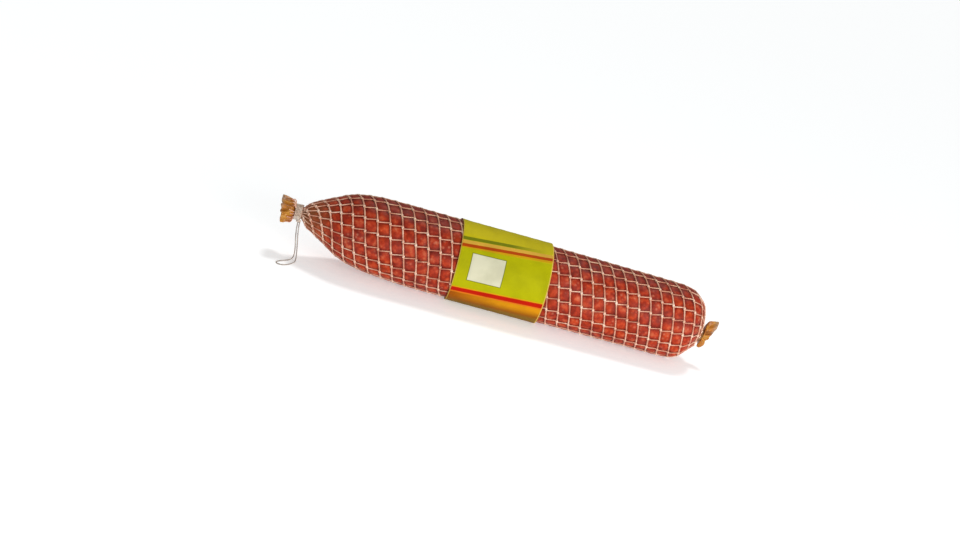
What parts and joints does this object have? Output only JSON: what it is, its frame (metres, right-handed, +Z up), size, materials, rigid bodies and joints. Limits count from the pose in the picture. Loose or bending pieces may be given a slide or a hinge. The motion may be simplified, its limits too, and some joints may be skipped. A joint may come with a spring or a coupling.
{
  "type": "cured sausage",
  "caption": "Whole dry-cured sausage in a stretch net with a wrap-around label band, tied at the neck with a twine hanging loop.",
  "frame": {"origin": "on the surface that the sausage rests on, under the middle of its length (to within about 2 mm) and width, the hanging loop not counted", "axes": "+Z up, X along the length with the hung end and its loop at -X, -Y towards the label's front panel"},
  "size_m": [0.5458, 0.0996, 0.0971],
  "materials": {
    "casing": "collagen casing tight over cured minced meat, satin, slightly translucent",
    "net_thread": "knitted cotton and elastic thread, dull, stained pink-beige by the meat",
    "label_paper": "printed paper with a light satin varnish",
    "twine": "twisted food twine, dull"
  },
  "bodies": {
    "root": {"sausage": "casing", "netting": "net_thread", "label_band": "label_paper", "hung_end_tie": "twine", "far_end_tie": "twine", "hanging_loop": "twine"}
  },
  "joints": []
}
